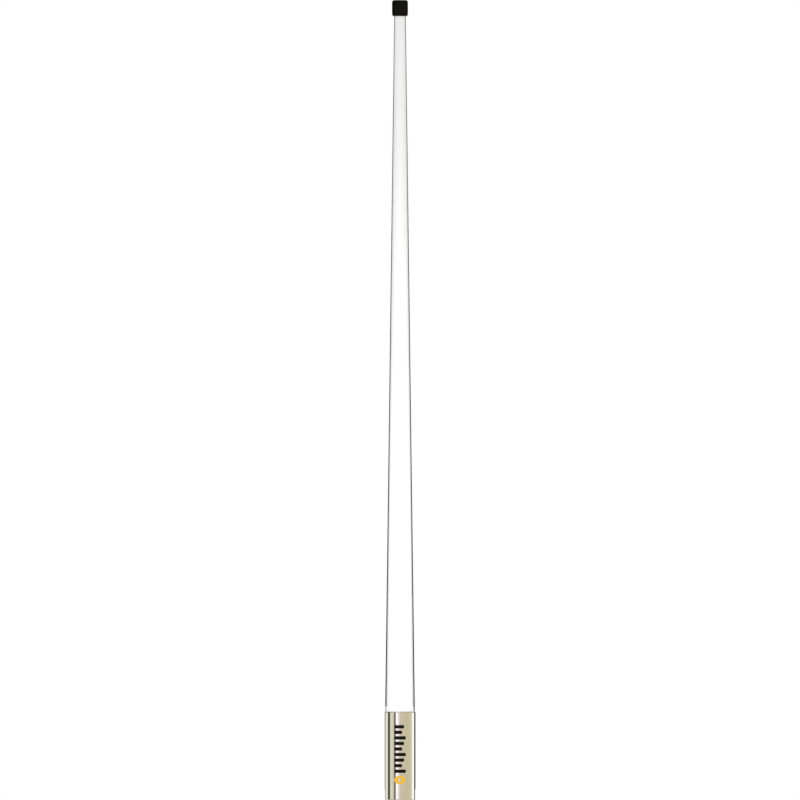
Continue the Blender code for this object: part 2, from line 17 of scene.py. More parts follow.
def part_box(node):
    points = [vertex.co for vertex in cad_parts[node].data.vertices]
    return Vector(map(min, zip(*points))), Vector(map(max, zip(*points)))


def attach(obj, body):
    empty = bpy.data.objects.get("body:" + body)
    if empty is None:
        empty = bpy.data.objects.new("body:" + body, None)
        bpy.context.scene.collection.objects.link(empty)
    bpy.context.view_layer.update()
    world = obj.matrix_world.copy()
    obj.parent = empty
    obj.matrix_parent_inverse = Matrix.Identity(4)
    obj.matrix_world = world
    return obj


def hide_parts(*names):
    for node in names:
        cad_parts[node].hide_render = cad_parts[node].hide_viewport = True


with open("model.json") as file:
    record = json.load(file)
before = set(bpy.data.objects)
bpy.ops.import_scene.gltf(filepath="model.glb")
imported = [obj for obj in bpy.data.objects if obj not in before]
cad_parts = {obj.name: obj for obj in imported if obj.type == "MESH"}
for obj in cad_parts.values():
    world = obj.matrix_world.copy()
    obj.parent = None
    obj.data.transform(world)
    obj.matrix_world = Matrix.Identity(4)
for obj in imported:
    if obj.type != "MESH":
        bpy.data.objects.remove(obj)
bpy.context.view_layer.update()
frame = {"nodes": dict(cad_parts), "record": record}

MM = 0.001
TURN = 2 * math.pi
SLOT_OF = {row["node"]: row["material_slot"] for row in frame["record"]["subparts"]}


# What the CAD frame says, in millimetres


@functools.cache
def span(node):
    """The heights of a CAD node's bottom and top."""
    return tuple(place.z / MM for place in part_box(node))


def low(node):
    return span(node)[0]


def high(node):
    return span(node)[1]


@functools.cache
def outside(node):
    """The largest radius of a turned CAD node."""
    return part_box(node)[1].x / MM


@functools.cache
def inside(node):
    """The radius of a ring-shaped CAD node's hole."""
    return min(math.hypot(v.co.x, v.co.y) for v in frame["nodes"][node].data.vertices) / MM


# Making meshes

CORNER_STEPS = 4
CORNER_SHARE = 0.45  # the most of a side that one corner's round takes
TINY = 1e-6  # shorter than any real side


def corner(before, here, after, size):
    """Points that round one corner of an outline with a quadratic curve."""
    here = Vector(here)
    ways = [Vector(point) - here for point in (before, after)]
    if min(way.length for way in ways) < TINY:
        return [tuple(here)]
    start, end = (here + way.normalized() * min(size, CORNER_SHARE * way.length) for way in ways)
    points = []
    for step in range(CORNER_STEPS + 1):
        t = step / CORNER_STEPS
        points.append(tuple(start * (1 - t) ** 2 + here * 2 * t * (1 - t) + end * t**2))
    return points


def rounded(outline):
    """The outline as plain (radius, height) points, with each corner that asks for it rounded."""
    flat = [point[:2] for point in outline]
    points = []
    for number, point in enumerate(outline):
        if len(point) < 3:
            points.append(flat[number])
        else:
            after = flat[(number + 1) % len(flat)]
            points += corner(flat[number - 1], flat[number], after, point[2])
    return points


def stretch(start, end, count):
    """Points between two outline points, without the ends."""
    first, last = Vector(start), Vector(end)
    return [tuple(first.lerp(last, step / count)) for step in range(1, count)]


def wall(start, end, count):
    """Points from one outline point to another, with both ends."""
    return [start, *stretch(start, end, count), end]


def polar(x, y):
    return math.hypot(x, y), math.atan2(y, x)


def around(radius, angle, height):
    return (radius * math.cos(angle), radius * math.sin(angle), height)


def at_radius(x, y, z, radius):
    """The point, moved straight out or in to a distance from the axis."""
    scale = radius / math.hypot(x, y)
    return x * scale, y * scale, z


def link(name, data):
    piece = bpy.data.objects.new(name, data)
    bpy.context.scene.collection.objects.link(piece)
    return piece


def mesh_piece(name, work, material, sharp=38):
    """An object from a bmesh, shaded smooth but for the edges that turn by more than sharp degrees."""
    bmesh.ops.recalc_face_normals(work, faces=work.faces)
    mesh = bpy.data.meshes.new(name)
    work.to_mesh(mesh)
    work.free()
    mesh.shade_smooth()
    mesh.set_sharp_from_angle(angle=math.radians(sharp))
    mesh.materials.append(material)
    return link(name, mesh)


def turned(name, outline, material, sides=48, reshape=None, sharp=38):
    """A piece turned about the axis: solid if its outline starts and ends there, and otherwise a ring.
    reshape(x, y, z) moves each point, in millimetres."""
    work = bmesh.new()
    rings = []
    for radius, height in rounded(outline):
        ring = []
        for step in range(sides if radius > TINY else 1):
            place = Vector(around(radius, TURN * step / sides, height))
            if reshape:
                place = Vector(reshape(*place))
            ring.append(work.verts.new(place * MM))
        rings.append(ring)
    join_rings(work, rings, closed=len(rings[0]) > 1)
    return mesh_piece(name, work, material, sharp)


def join_rings(work, rings, closed):
    """Faces from each ring of points to the next, and from the last to the first of a closed row. A ring
    may be a single point on the axis."""
    for one, other in zip(rings, rings[1:] + rings[:1] if closed else rings[1:]):
        count = max(len(one), len(other))
        for step in range(count):
            after = (step + 1) % count
            if len(one) == 1:
                work.faces.new((one[0], other[after], other[step]))
            elif len(other) == 1:
                work.faces.new((one[step], one[after], other[0]))
            else:
                work.faces.new((one[step], one[after], other[after], other[step]))


def join_and_cap(work, rings):
    """Faces along an open row of rings, with its two ends closed."""
    join_rings(work, rings, closed=False)
    work.faces.new(rings[0])
    work.faces.new(rings[-1])


def add_wire(work, points, radius, sides):
    """Adds a round wire along a path of points in millimetres, with closed ends."""
    places = [Vector(point) for point in points]
    side = (places[1] - places[0]).orthogonal()
    rings = []
    for number, place in enumerate(places):
        arriving = (place - places[max(number - 1, 0)]).normalized()
        leaving = (places[min(number + 1, len(places) - 1)] - place).normalized()
        along = (arriving + leaving).normalized()
        side = (side - along * side.dot(along)).normalized()
        ring = []
        for step in range(sides):
            turn = Matrix.Rotation(TURN * step / sides, 3, along)
            ring.append(work.verts.new((place + turn @ side * radius) * MM))
        rings.append(ring)
    join_and_cap(work, rings)


THREAD_ROWS = 12  # rows of points along one pitch
ON_WALL = 0.01  # how near a point is to the wall that a thread or groove is cut in


def thread_rise(angle, height, pitch):
    """0 at the root of a right-handed thread and 1 at its crest, with both a little rounded."""
    wave = math.cos(TURN * (height / pitch - angle / TURN))
    return 0.5 + 0.5 * wave * (1.25 - 0.25 * wave**2)


def thread_points(start, end, pitch):
    """Points from one outline point to another, close enough to draw a thread."""
    return wall(start, end, round(abs(end[1] - start[1]) / pitch * THREAD_ROWS))


def to_flat(angle):
    """The angle from the middle of the nearest side of a hexagon that has one side facing +X."""
    return (angle + TURN / 12) % (TURN / 6) - TURN / 12


def finish_piece(piece, node, body="antenna"):
    """The piece stands for a CAD node, whose mesh it hides, and rides on its body."""
    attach(piece, body)
    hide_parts(node)


# Materials


class Graph:
    """A node tree being built. Its methods add nodes and return output sockets."""

    def __init__(self, tree):
        self.nodes = tree.nodes
        self.links = tree.links

    def add(self, kind, **settings):
        node = self.nodes.new("ShaderNode" + kind)
        for name, value in settings.items():
            setattr(node, name, value)
        return node

    def put(self, socket, value):
        """Give an input its value, or link it."""
        if isinstance(value, bpy.types.NodeSocket):
            self.links.new(value, socket)
        else:
            socket.default_value = value

    def feed(self, node, **sockets):
        """Put values in a node's inputs. An underscore in a name stands for a space."""
        for name, value in sockets.items():
            self.put(node.inputs[name.replace("_", " ")], value)
        return node

    def math(self, operation, *values):
        node = self.add("Math", operation=operation)
        for socket, value in zip(node.inputs, values):
            self.put(socket, value)
        return node.outputs["Value"]

    def between(self, value, start, end, first, last):
        """The value, mapped from one range to another and held inside it."""
        node = self.add("MapRange")
        self.feed(node, Value=value, From_Min=start, From_Max=end, To_Min=first, To_Max=last)
        return node.outputs["Result"]

    def blend(self, share, first, second, mode="MIX"):
        """One colour over another."""
        node = self.feed(self.add("Mix", data_type="RGBA", blend_type=mode), Factor=share)
        for socket, colour in zip([i for i in node.inputs if i.type == "RGBA"], (first, second)):
            self.put(socket, (*colour, 1.0) if isinstance(colour, tuple) else colour)
        return next(output for output in node.outputs if output.type == "RGBA")

    def ramp(self, value, stops):
        """A colour ramp with stops of (position, colour)."""
        node = self.feed(self.add("ValToRGB"), Fac=value)
        elements = node.color_ramp.elements
        for number, (position, colour) in enumerate(stops):
            stop = elements[number] if number < 2 else elements.new(position)
            stop.position = position
            stop.color = (*colour, 1.0)
        return node.outputs["Color"]

    def mix(self, share, first, second):
        """A mix of two shaders."""
        node = self.feed(self.add("MixShader"), Fac=share)
        self.links.new(first, node.inputs[1])
        self.links.new(second, node.inputs[2])
        return node.outputs["Shader"]


class Surface(Graph):
    """A Principled material being built, in the piece's own coordinates."""

    def __init__(self, name, metallic=0.0, **values):
        self.material = bpy.data.materials.new(name)
        self.material.use_nodes = True
        super().__init__(self.material.node_tree)
        self.shader = self.nodes["Principled BSDF"]
        self.feed(self.shader, Metallic=metallic, **values)
        self.place = self.add("TexCoord").outputs["Object"]

    def noise(self, scale, detail=3.0, along=(1, 1, 1)):
        """Noise of scale features per metre, drawn out along the axes with a small share."""
        mapping = self.feed(self.add("Mapping"), Vector=self.place, Scale=[scale * a for a in along])
        node = self.feed(self.add("TexNoise"), Vector=mapping.outputs["Vector"], Scale=1.0, Detail=detail)
        return node.outputs["Fac"]

    def cells(self, scale):
        """Distance within cells of scale cells per metre."""
        node = self.feed(self.add("TexVoronoi"), Vector=self.place, Scale=scale)
        return node.outputs["Distance"]

    def colour(self, value, first, second, start=0.35, end=0.65):
        """Drive the base colour from one colour to another."""
        share = self.between(value, start, end, 0.0, 1.0)
        self.feed(self.shader, Base_Color=self.blend(share, first, second))

    def roughness(self, value, smooth, rough, start=0.3, end=0.7):
        self.feed(self.shader, Roughness=self.between(value, start, end, smooth, rough))

    def gloss(self, roughness, start, full):
        """A mirror-like layer that grows with the Fresnel share, from start to full."""
        fresnel = self.feed(self.add("Fresnel"), IOR=1.5).outputs["Fac"]
        mirror = self.feed(self.add("BsdfGlossy"), Roughness=roughness).outputs["BSDF"]
        share = self.between(fresnel, start, full, 0.0, 1.0)
        mixed = self.mix(share, self.shader.outputs["BSDF"], mirror)
        self.feed(self.nodes["Material Output"], Surface=mixed)

    def bump(self, height, depth):
        """Relief of that depth in metres."""
        node = self.feed(self.add("Bump"), Height=height, Strength=1.0, Distance=depth)
        self.feed(self.shader, Normal=node.outputs["Normal"])


def metal(name, dark, light, smooth, rough, line_scale, line_depth, along=(0.02, 0.02, 1.0)):
    """Worked metal: fine tool lines, with smudges that change its gloss and shade a little."""
    look = Surface(name, metallic=1.0)
    smudges = look.noise(90.0, 4.0)
    lines = look.noise(line_scale, 2.0, along)
    look.colour(smudges, dark, light)
    look.roughness(look.math("MULTIPLY", smudges, lines), smooth, rough, 0.12, 0.4)
    look.bump(lines, line_depth)
    return look.material


def moulded(name, dark, light, smooth, rough, grain_scale, grain_depth, scatter=0.0, reach=(0.001,) * 3):
    """Moulded or extruded plastic or rubber: a fine grain, and slight changes of shade and gloss. Some
    scatter light that enters them, as far as reach in metres."""
    look = Surface(name, Subsurface_Weight=scatter, Subsurface_Radius=reach, Subsurface_Scale=1.0)
    shade = look.noise(55.0, 5.0)
    grain = look.noise(grain_scale, 3.0)
    look.colour(shade, dark, light)
    look.roughness(look.math("MULTIPLY", shade, grain), smooth, rough, 0.15, 0.4)
    look.bump(grain, grain_depth)
    return look.material


def gelcoat(name):
    """White gelcoat over glass fibre: faint orange peel, faint lengthwise streaks, and a gloss that takes
    over towards grazing angles."""
    look = Surface(name, Coat_Weight=0.3, Coat_Roughness=0.1, Specular_IOR_Level=0.35)
    streaks = look.noise(260.0, 4.0, (1.0, 1.0, 0.04))
    clouds = look.noise(9.0, 3.0)
    shade = look.math("MULTIPLY", streaks, clouds)
    look.colour(shade, (0.845, 0.85, 0.845), (0.885, 0.888, 0.888), 0.15, 0.4)
    look.roughness(look.noise(700.0, 2.0), 0.3, 0.4)
    look.bump(look.math("ADD", look.noise(650.0, 2.0), streaks), 1.2e-5)
    look.gloss(0.05, 0.075, 0.2)
    return look.material


def cap_plastic(name):
    """Black soft plastic with a fine spark-eroded grain."""
    look = Surface(name, Specular_IOR_Level=0.1)
    grain = look.cells(2600.0)
    dust = look.noise(140.0, 6.0)
    look.colour(dust, (0.0022, 0.0022, 0.0023), (0.0046, 0.0045, 0.0044))
    look.roughness(dust, 0.42, 0.58)
    look.bump(grain, 1.8e-5)
    return look.material


def foam(name):
    """Grey closed-cell foam: cut cells of two sizes."""
    look = Surface(name, Specular_IOR_Level=0.2)
    large = look.cells(900.0)
    small = look.cells(2600.0)
    cells = look.math("ADD", large, small)
    look.colour(cells, (0.17, 0.175, 0.18), (0.36, 0.37, 0.38), 0.3, 1.2)
    look.roughness(small, 0.85, 0.98)
    look.bump(cells, 0.00022)
    return look.material


def ferrite(name):
    """Sintered ferrite: a dull grey with a sparse glint of grains."""
    look = Surface(name, Specular_IOR_Level=0.45)
    grains = look.cells(3800.0)
    look.colour(grains, (0.035, 0.035, 0.038), (0.1, 0.1, 0.105), 0.1, 0.8)
    look.roughness(grains, 0.45, 0.75)
    look.bump(grains, 2e-5)
    return look.material


def ink(name, dark, light):
    """Printed ink: an even coat with a slight mottle."""
    look = Surface(name, Specular_IOR_Level=0.08)
    mottle = look.noise(900.0, 4.0)
    look.colour(mottle, dark, light)
    look.roughness(mottle, 0.38, 0.55)
    look.bump(mottle, 6e-6)
    return look.material


# Each material slot's kind and settings
LOOKS = {
    "polished_steel": (metal, (0.725, 0.7, 0.64), (0.75, 0.725, 0.665), 0.045, 0.11, 9000.0, 6e-7),
    "white_gelcoat": (gelcoat,),
    "black_plastic": (cap_plastic,),
    "clear_silicone": (moulded, (0.6, 0.57, 0.62), (0.72, 0.68, 0.74), 0.2, 0.4, 1200.0, 2e-5, 0.2),
    "black_ink": (ink, (0.002, 0.002, 0.002), (0.007, 0.007, 0.006)),
    "amber_ink": (ink, (0.66, 0.385, 0.04), (0.73, 0.44, 0.055)),
    "nickel_plate": (metal, (0.6, 0.55, 0.47), (0.7, 0.65, 0.57), 0.14, 0.32, 7000.0, 3e-6),
    "gold_plate": (metal, (0.86, 0.56, 0.18), (0.95, 0.67, 0.28), 0.12, 0.3, 7000.0, 2e-6),
    "white_ptfe": (
        moulded, (0.8, 0.8, 0.78), (0.88, 0.88, 0.86), 0.32, 0.5, 1500.0, 1.5e-5,
        0.15, (0.002, 0.002, 0.0018),
    ),
    "black_rubber": (moulded, (0.014,) * 3, (0.026,) * 3, 0.6, 0.85, 1600.0, 3e-5),
    "black_pvc": (moulded, (0.016, 0.016, 0.018), (0.028,) * 3, 0.4, 0.62, 1900.0, 2.5e-5),
    "polyethylene": (
        moulded, (0.68, 0.68, 0.66), (0.78, 0.78, 0.76), 0.35, 0.55, 1400.0, 2e-5, 0.3, (0.002,) * 3
    ),
    "tinned_braid": (metal, (0.46, 0.45, 0.43), (0.66, 0.65, 0.63), 0.28, 0.5, 5000.0, 8e-6),
    "copper": (metal, (0.62, 0.25, 0.12), (0.86, 0.4, 0.22), 0.2, 0.42, 6000.0, 4e-6),
    "brass": (metal, (0.56, 0.37, 0.13), (0.76, 0.54, 0.22), 0.2, 0.42, 8000.0, 3e-6, (1.0, 1.0, 0.012)),
    "epoxy": (moulded, (0.022, 0.02, 0.018), (0.045, 0.041, 0.038), 0.12, 0.4, 420.0, 6e-5),
    "ferrite": (ferrite,),
    "shrink_tube": (moulded, (0.014,) * 3, (0.026,) * 3, 0.45, 0.7, 1100.0, 4e-5),
    "grey_foam": (foam,),
    "solder": (metal, (0.5, 0.5, 0.49), (0.72, 0.72, 0.7), 0.16, 0.4, 1800.0, 2e-5, (1, 1, 1)),
}
MATERIALS = {name: kind(name, *settings) for name, (kind, *settings) in LOOKS.items()}


def node_piece(node, outline, body="antenna", **options):
    """A turned piece that stands for a CAD node, in the material of the node's slot."""
    piece = turned(node + "_finished", outline, MATERIALS[SLOT_OF[node]], **options)
    finish_piece(piece, node, body)


def ring_piece(node, edge, rows=(), **options):
    """A ring that fills a CAD node's box, with broken edges, and rows of points at those heights."""
    inner, outer, bottom, top = inside(node), outside(node), *span(node)
    outline = [(inner, bottom, edge), (outer, bottom, edge), *((outer, row) for row in rows)]
    outline += [(outer, top, edge), (inner, top, edge), *((inner, row) for row in reversed(rows))]
    node_piece(node, outline, **options)


def rod_piece(node, edge, tip_edge, **options):
    """A solid rod that fills a CAD node's box, with broken edges."""
    radius, bottom, top = outside(node), *span(node)
    outline = [(0.0, bottom), (radius, bottom, edge), (radius, top, tip_edge), (0.0, top)]
    node_piece(node, outline, **options)


# The visible pieces

CLEARANCE = 0.3  # the gap that the CAD frame leaves round a piece inside another

FERRULE_RADIUS = outside("ferrule")
RIM = high("ferrule")
RIM_ROUND = 1.0
EDGE = 0.6
SOCKET_RADIUS = 11.75  # minor radius of the female thread
SOCKET_LENGTH = 32.0
SOCKET_PITCH = 25.4 / 14
SOCKET_THREAD_DEPTH = 0.54 * SOCKET_PITCH
SOCKET_CHAMFER = 1.2
RELIEF_RADIUS = 12.9
WEB_BOTTOM, WEB_TOP = 50.0, 58.0
CUP_RADIUS = 18.3
JACK_HOLE = 8.1
FLAT_OFFSET = 18.8
FLAT_TOP = 14.0
FLAT_RUNOUT = 0.8


def shape_ferrule(x, y, z):
    """Cuts the female thread and its chamfered mouth in the socket, and the two wrench flats outside."""
    radius, angle = polar(x, y)
    if radius < SOCKET_RADIUS + ON_WALL and z < SOCKET_LENGTH:
        threaded = SOCKET_RADIUS + SOCKET_THREAD_DEPTH * thread_rise(angle, z, SOCKET_PITCH)
        return at_radius(x, y, z, max(threaded, SOCKET_RADIUS + SOCKET_CHAMFER - z))
    if radius > CUP_RADIUS and z < FLAT_TOP:
        share = max(0.0, (z - FLAT_TOP + FLAT_RUNOUT) / FLAT_RUNOUT)
        limit = FLAT_OFFSET + (FERRULE_RADIUS - FLAT_OFFSET) * share
        x = max(-limit, min(limit, x))
    return x, y, z


def build_ferrule():
    outline = [
        (FERRULE_RADIUS - EDGE, 0.0, 0.12),
        (FERRULE_RADIUS, EDGE, 0.2),
        (FERRULE_RADIUS, FLAT_TOP - FLAT_RUNOUT),
        (FERRULE_RADIUS, FLAT_TOP),
        (FERRULE_RADIUS, RIM, RIM_ROUND),
        (CUP_RADIUS, RIM, 0.15),
        (CUP_RADIUS, WEB_TOP, 0.4),
        (JACK_HOLE, WEB_TOP, 0.15),
        (JACK_HOLE, WEB_BOTTOM, 0.15),
        (RELIEF_RADIUS, WEB_BOTTOM, 0.4),
        (RELIEF_RADIUS, SOCKET_LENGTH),
        *thread_points((SOCKET_RADIUS, SOCKET_LENGTH - ON_WALL), (SOCKET_RADIUS, 0.0), SOCKET_PITCH),
    ]
    node_piece("ferrule", outline, sides=144, reshape=shape_ferrule)


TUBE_FOOT, TUBE_NECK = outside("radome_tube"), 7.2
BORE_FOOT, BORE_TOP = 16.0, 5.4
SHOULDER = RIM + CLEARANCE
SPIGOT_RADIUS = CUP_RADIUS - CLEARANCE
NECK_HEIGHT = low("end_cap")
TUBE_BOTTOM, TUBE_TOP = span("radome_tube")
TUBE_END = 0.5  # plain length at each end of the tapered stretch
TUBE_ROWS = 44


def tube_radius(height):
    """Outer radius of the tapered tube at a height."""
    return TUBE_FOOT + (TUBE_NECK - TUBE_FOOT) * (height - SHOULDER) / (NECK_HEIGHT - SHOULDER)


def build_radome():
    foot = (TUBE_FOOT, SHOULDER + TUBE_END)
    tip = (tube_radius(TUBE_TOP), TUBE_TOP - TUBE_END)
    bore_foot = (BORE_FOOT, RIM)
    bore_tip = (BORE_TOP, TUBE_TOP - TUBE_END)
    outline = [
        (SPIGOT_RADIUS, TUBE_BOTTOM, 0.3),
        (SPIGOT_RADIUS, SHOULDER),
        (TUBE_FOOT, SHOULDER, 0.2),
        *wall(foot, tip, TUBE_ROWS),
        (tip[0], TUBE_TOP, 0.25),
        (bore_tip[0], TUBE_TOP, 0.2),
        *wall(bore_tip, bore_foot, TUBE_ROWS),
        (BORE_FOOT, TUBE_BOTTOM, 0.3),
    ]
    node_piece("radome_tube", outline, sides=128)


SEALANT_LIFT = 0.03  # between the sealant and what it is laid against


def shape_sealant(x, y, z):
    """Lets the bead of sealant waver a little, as a hand-run bead does."""
    wander = noise.noise(Vector((x * 0.3, y * 0.3, 0.0)))
    scale = 1 + 0.005 * max(0.0, wander)
    above = max(0.0, z - SHOULDER)
    return x * scale, y * scale, z + 0.25 * above * wander


def build_sealant():
    outline = [
        (CUP_RADIUS + 0.05, RIM + 0.02),
        (FERRULE_RADIUS - 0.4, RIM + 0.02, 0.12),
        (FERRULE_RADIUS - 0.5, SHOULDER + 0.45, 0.25),
        (TUBE_FOOT + SEALANT_LIFT, high("rim_sealant")),
        (TUBE_FOOT + SEALANT_LIFT, SHOULDER - SEALANT_LIFT),
        (CUP_RADIUS + 0.05, SHOULDER - SEALANT_LIFT),
    ]
    node_piece("rim_sealant", outline, sides=144, reshape=shape_sealant)


CAP_RADIUS = outside("end_cap")
CAP_TOP = high("end_cap")
CROWN_ROUND = 3.4
CAP_DRAFT = 0.05  # how much a moulded wall leans
CAP_RIBS = 6
RIB_RISE = 0.2
GROOVE_HEIGHT = 2.3  # above the lip
GROOVE_DEPTH = 0.55
LIP_SETBACK = 0.35  # from the cap's outside
GATE_RADIUS = 1.3  # of the dimple round the moulding gate
GATE_DEPTH = 0.25


def shape_cap(x, y, z):
    """Raises the crush ribs in the cap's bore, which grip the tube."""
    radius, angle = polar(x, y)
    if z >= TUBE_TOP or radius >= TUBE_NECK + 0.5:
        return x, y, z
    rib = max(0.0, math.cos(CAP_RIBS * angle)) ** 8
    return at_radius(x, y, z, radius - RIB_RISE * rib)


def build_cap():
    """The push-on cap: a rounded crown with a gate mark, and a fine groove above its lip."""
    lip_bore = tube_radius(NECK_HEIGHT) + CLEARANCE
    roof = TUBE_TOP + CLEARANCE
    groove = NECK_HEIGHT + GROOVE_HEIGHT
    gate_floor, gate_top = CAP_TOP - GATE_DEPTH, CAP_TOP - GATE_DEPTH / 5
    outline = [
        (0.0, roof),
        (tube_radius(roof) + CLEARANCE, roof, 0.3),
        (lip_bore, NECK_HEIGHT + 0.6),
        (lip_bore + 0.5, NECK_HEIGHT, 0.1),
        (CAP_RADIUS - LIP_SETBACK, NECK_HEIGHT, 0.9),
        (CAP_RADIUS - LIP_SETBACK + CAP_DRAFT, groove - 0.35, 0.25),
        (CAP_RADIUS - GROOVE_DEPTH, groove - 0.2),
        (CAP_RADIUS - GROOVE_DEPTH, groove + 0.2),
        (CAP_RADIUS, groove + 0.35, 0.2),
        (CAP_RADIUS - CAP_DRAFT, CAP_TOP, CROWN_ROUND),
        (GATE_RADIUS + 0.3, CAP_TOP, 0.1),
        (GATE_RADIUS, gate_floor, 0.1),
        (0.35, gate_floor),
        (0.25, gate_top),
        (0.0, gate_top),
    ]
    node_piece("end_cap", outline, sides=96, body="cap", reshape=shape_cap)


INK_THICKNESS = 0.06
INK_SINK = 0.02  # of the ink's underside, below the ferrule's surface
BAR_COUNT = 9
BAR_COLUMNS = 20
BAR_SHARE = 0.62  # of each bar's pitch that is inked
BAR_REACHES = (1.0, 0.35, 0.7)  # where the bars end in turn, in half widths
MARK_HALF_WIDTH = 7.5
OVAL_HOLE = 2.1
OVAL_MARGIN = 1.2  # above and below the oval, in its CAD node's height
OVAL_ROWS, OVAL_SIDES = 6, 64


def on_ferrule(across, height, lift):
    """A point in metres, across the ferrule's front and lifted off it, from millimetres."""
    return Vector(around(FERRULE_RADIUS + lift, across / FERRULE_RADIUS - TURN / 4, height)) * MM


def add_bar(work, left, right, middle, half_height):
    """Adds a thin bar of ink with rounded corners, bent round the ferrule."""
    sections = []
    for step in range(BAR_COLUMNS + 1):
        share = -math.cos(math.pi * step / BAR_COLUMNS)
        across = (left + right) / 2 + share * (right - left) / 2
        rise = half_height * max(0.1, (1 - abs(share) ** 14) ** 0.3)
        lower, upper = middle - rise, middle + rise
        loop = ((lower, -INK_SINK), (upper, -INK_SINK), (upper, INK_THICKNESS), (lower, INK_THICKNESS))
        sections.append([work.verts.new(on_ferrule(across, height, lift)) for height, lift in loop])
    join_and_cap(work, sections)


def add_oval(work, middle, half_height):
    """Adds a thin oval ring of ink with a round hole, bent round the ferrule."""
    rings = []
    for lift in (-INK_SINK, INK_THICKNESS):
        for row in range(OVAL_ROWS + 1):
            share = row / OVAL_ROWS if lift < 0 else 1 - row / OVAL_ROWS
            ring = []
            for step in range(OVAL_SIDES):
                angle = TURN * step / OVAL_SIDES
                across = (OVAL_HOLE + share * (MARK_HALF_WIDTH - OVAL_HOLE)) * math.cos(angle)
                rise = (OVAL_HOLE + share * (half_height - OVAL_HOLE)) * math.sin(angle)
                ring.append(work.verts.new(on_ferrule(across, middle + rise, lift)))
            rings.append(ring)
    join_rings(work, rings, closed=True)


def build_marks():
    """Generic print on the ferrule's front: plain bars of three lengths in turn, above a plain oval."""
    bottom, top = span("marking_bars")
    pitch = (top - bottom) / BAR_COUNT
    work = bmesh.new()
    for number in range(BAR_COUNT):
        middle = bottom + (number + 0.5) * pitch
        reach = BAR_REACHES[number % len(BAR_REACHES)]
        add_bar(work, -MARK_HALF_WIDTH, reach * MARK_HALF_WIDTH, middle, pitch * BAR_SHARE / 2)
    finish_piece(mesh_piece("marking_bars_print", work, MATERIALS["black_ink"]), "marking_bars")
    work = bmesh.new()
    bottom, top = span("marking_badge")
    add_oval(work, (bottom + top) / 2, (top - bottom) / 2 - OVAL_MARGIN)
    finish_piece(mesh_piece("marking_badge_print", work, MATERIALS["amber_ink"]), "marking_badge")


# The jack

JACK_PITCH = 25.4 / 24
JACK_THREAD_DEPTH = 0.6
JACK_THREAD_RADIUS = 7.9  # of the thread for the cable's plug
BARREL_RADIUS = 7.8  # of the thread for the nut
JACK_RELIEF = 7.2
JACK_BORE = 4.1
STUB_RADIUS, STUB_BORE = 3.4, 1.85
FLANGE_RADIUS = outside("jack_body")
FLANGE_FLAT = 9.6
JACK_MOUTH = low("jack_body")
FLANGE_TOP = WEB_BOTTOM - 1.6
FLANGE_BOTTOM = FLANGE_TOP - 2.2
BARREL_TOP = 66.0
NUT_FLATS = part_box("jack_nut")[1].x / MM  # from the axis to a side


def shape_jack(x, y, z):
    """Cuts the two male threads, and the flats that hold the flange while the nut is turned."""
    radius, angle = polar(x, y)
    on_mating = abs(radius - JACK_THREAD_RADIUS) < ON_WALL and z < FLANGE_BOTTOM
    on_barrel = abs(radius - BARREL_RADIUS) < ON_WALL and FLANGE_TOP + 1 < z < BARREL_TOP - 0.2
    if on_mating or on_barrel:
        return at_radius(x, y, z, radius - JACK_THREAD_DEPTH * (1 - thread_rise(angle, z, JACK_PITCH)))
    if radius > BARREL_RADIUS + 0.5:
        y = max(-FLANGE_FLAT, min(FLANGE_FLAT, y))
    return x, y, z


def build_jack_body():
    thread_start = (JACK_THREAD_RADIUS, JACK_MOUTH + 0.6)
    thread_end = (JACK_THREAD_RADIUS, FLANGE_BOTTOM - 1.5)
    barrel_start = (BARREL_RADIUS, FLANGE_TOP + 1.2)
    barrel_end = (BARREL_RADIUS, BARREL_TOP - 0.5)
    stub_top = high("jack_body")
    outline = [
        (JACK_BORE, JACK_MOUTH, 0.2),
        (JACK_THREAD_RADIUS - 0.7, JACK_MOUTH, 0.15),
        *thread_points(thread_start, thread_end, JACK_PITCH),
        (JACK_RELIEF, thread_end[1] + 0.1),
        (JACK_RELIEF, FLANGE_BOTTOM),
        (FLANGE_RADIUS, FLANGE_BOTTOM, 0.25),
        (FLANGE_RADIUS, FLANGE_TOP, 0.25),
        (BARREL_RADIUS - 0.05, FLANGE_TOP),
        (BARREL_RADIUS - 0.05, barrel_start[1] - 0.1),
        *thread_points(barrel_start, barrel_end, JACK_PITCH),
        (BARREL_RADIUS - 0.6, BARREL_TOP),
        (STUB_RADIUS, BARREL_TOP, 0.2),
        (STUB_RADIUS, stub_top, 0.15),
        (STUB_BORE, stub_top, 0.15),
        (STUB_BORE, BARREL_TOP),
        (JACK_BORE, BARREL_TOP - 1.0),
    ]
    node_piece("jack_body", outline, sides=96, reshape=shape_jack)


HOLE_RADIUS, HOLE_DEPTH = 0.8, 5.0
SLOTS = 4
SLOT_TOP = 45.6
SLOT_FLOOR = 1.0  # radius of the slots' floor


def shape_contact(x, y, z):
    """Cuts the slots that make the socket's fingers springy."""
    radius, angle = polar(x, y)
    if z > SLOT_TOP or radius < SLOT_FLOOR:
        return x, y, z
    slot = max(0.0, math.cos(SLOTS * angle)) ** 24
    return at_radius(x, y, z, radius - slot * (radius - SLOT_FLOOR))


def build_contact():
    radius, bottom, top = outside("jack_contact"), *span("jack_contact")
    outline = [
        (0.0, bottom + HOLE_DEPTH),
        (HOLE_RADIUS, bottom + HOLE_DEPTH),
        (HOLE_RADIUS, bottom, 0.15),
        (radius, bottom, 0.3),
        (radius, SLOT_TOP - 0.4),
        (radius, SLOT_TOP + ON_WALL),
        (radius, top, 0.3),
        (0.0, top),
    ]
    node_piece("jack_contact", outline, reshape=shape_contact)


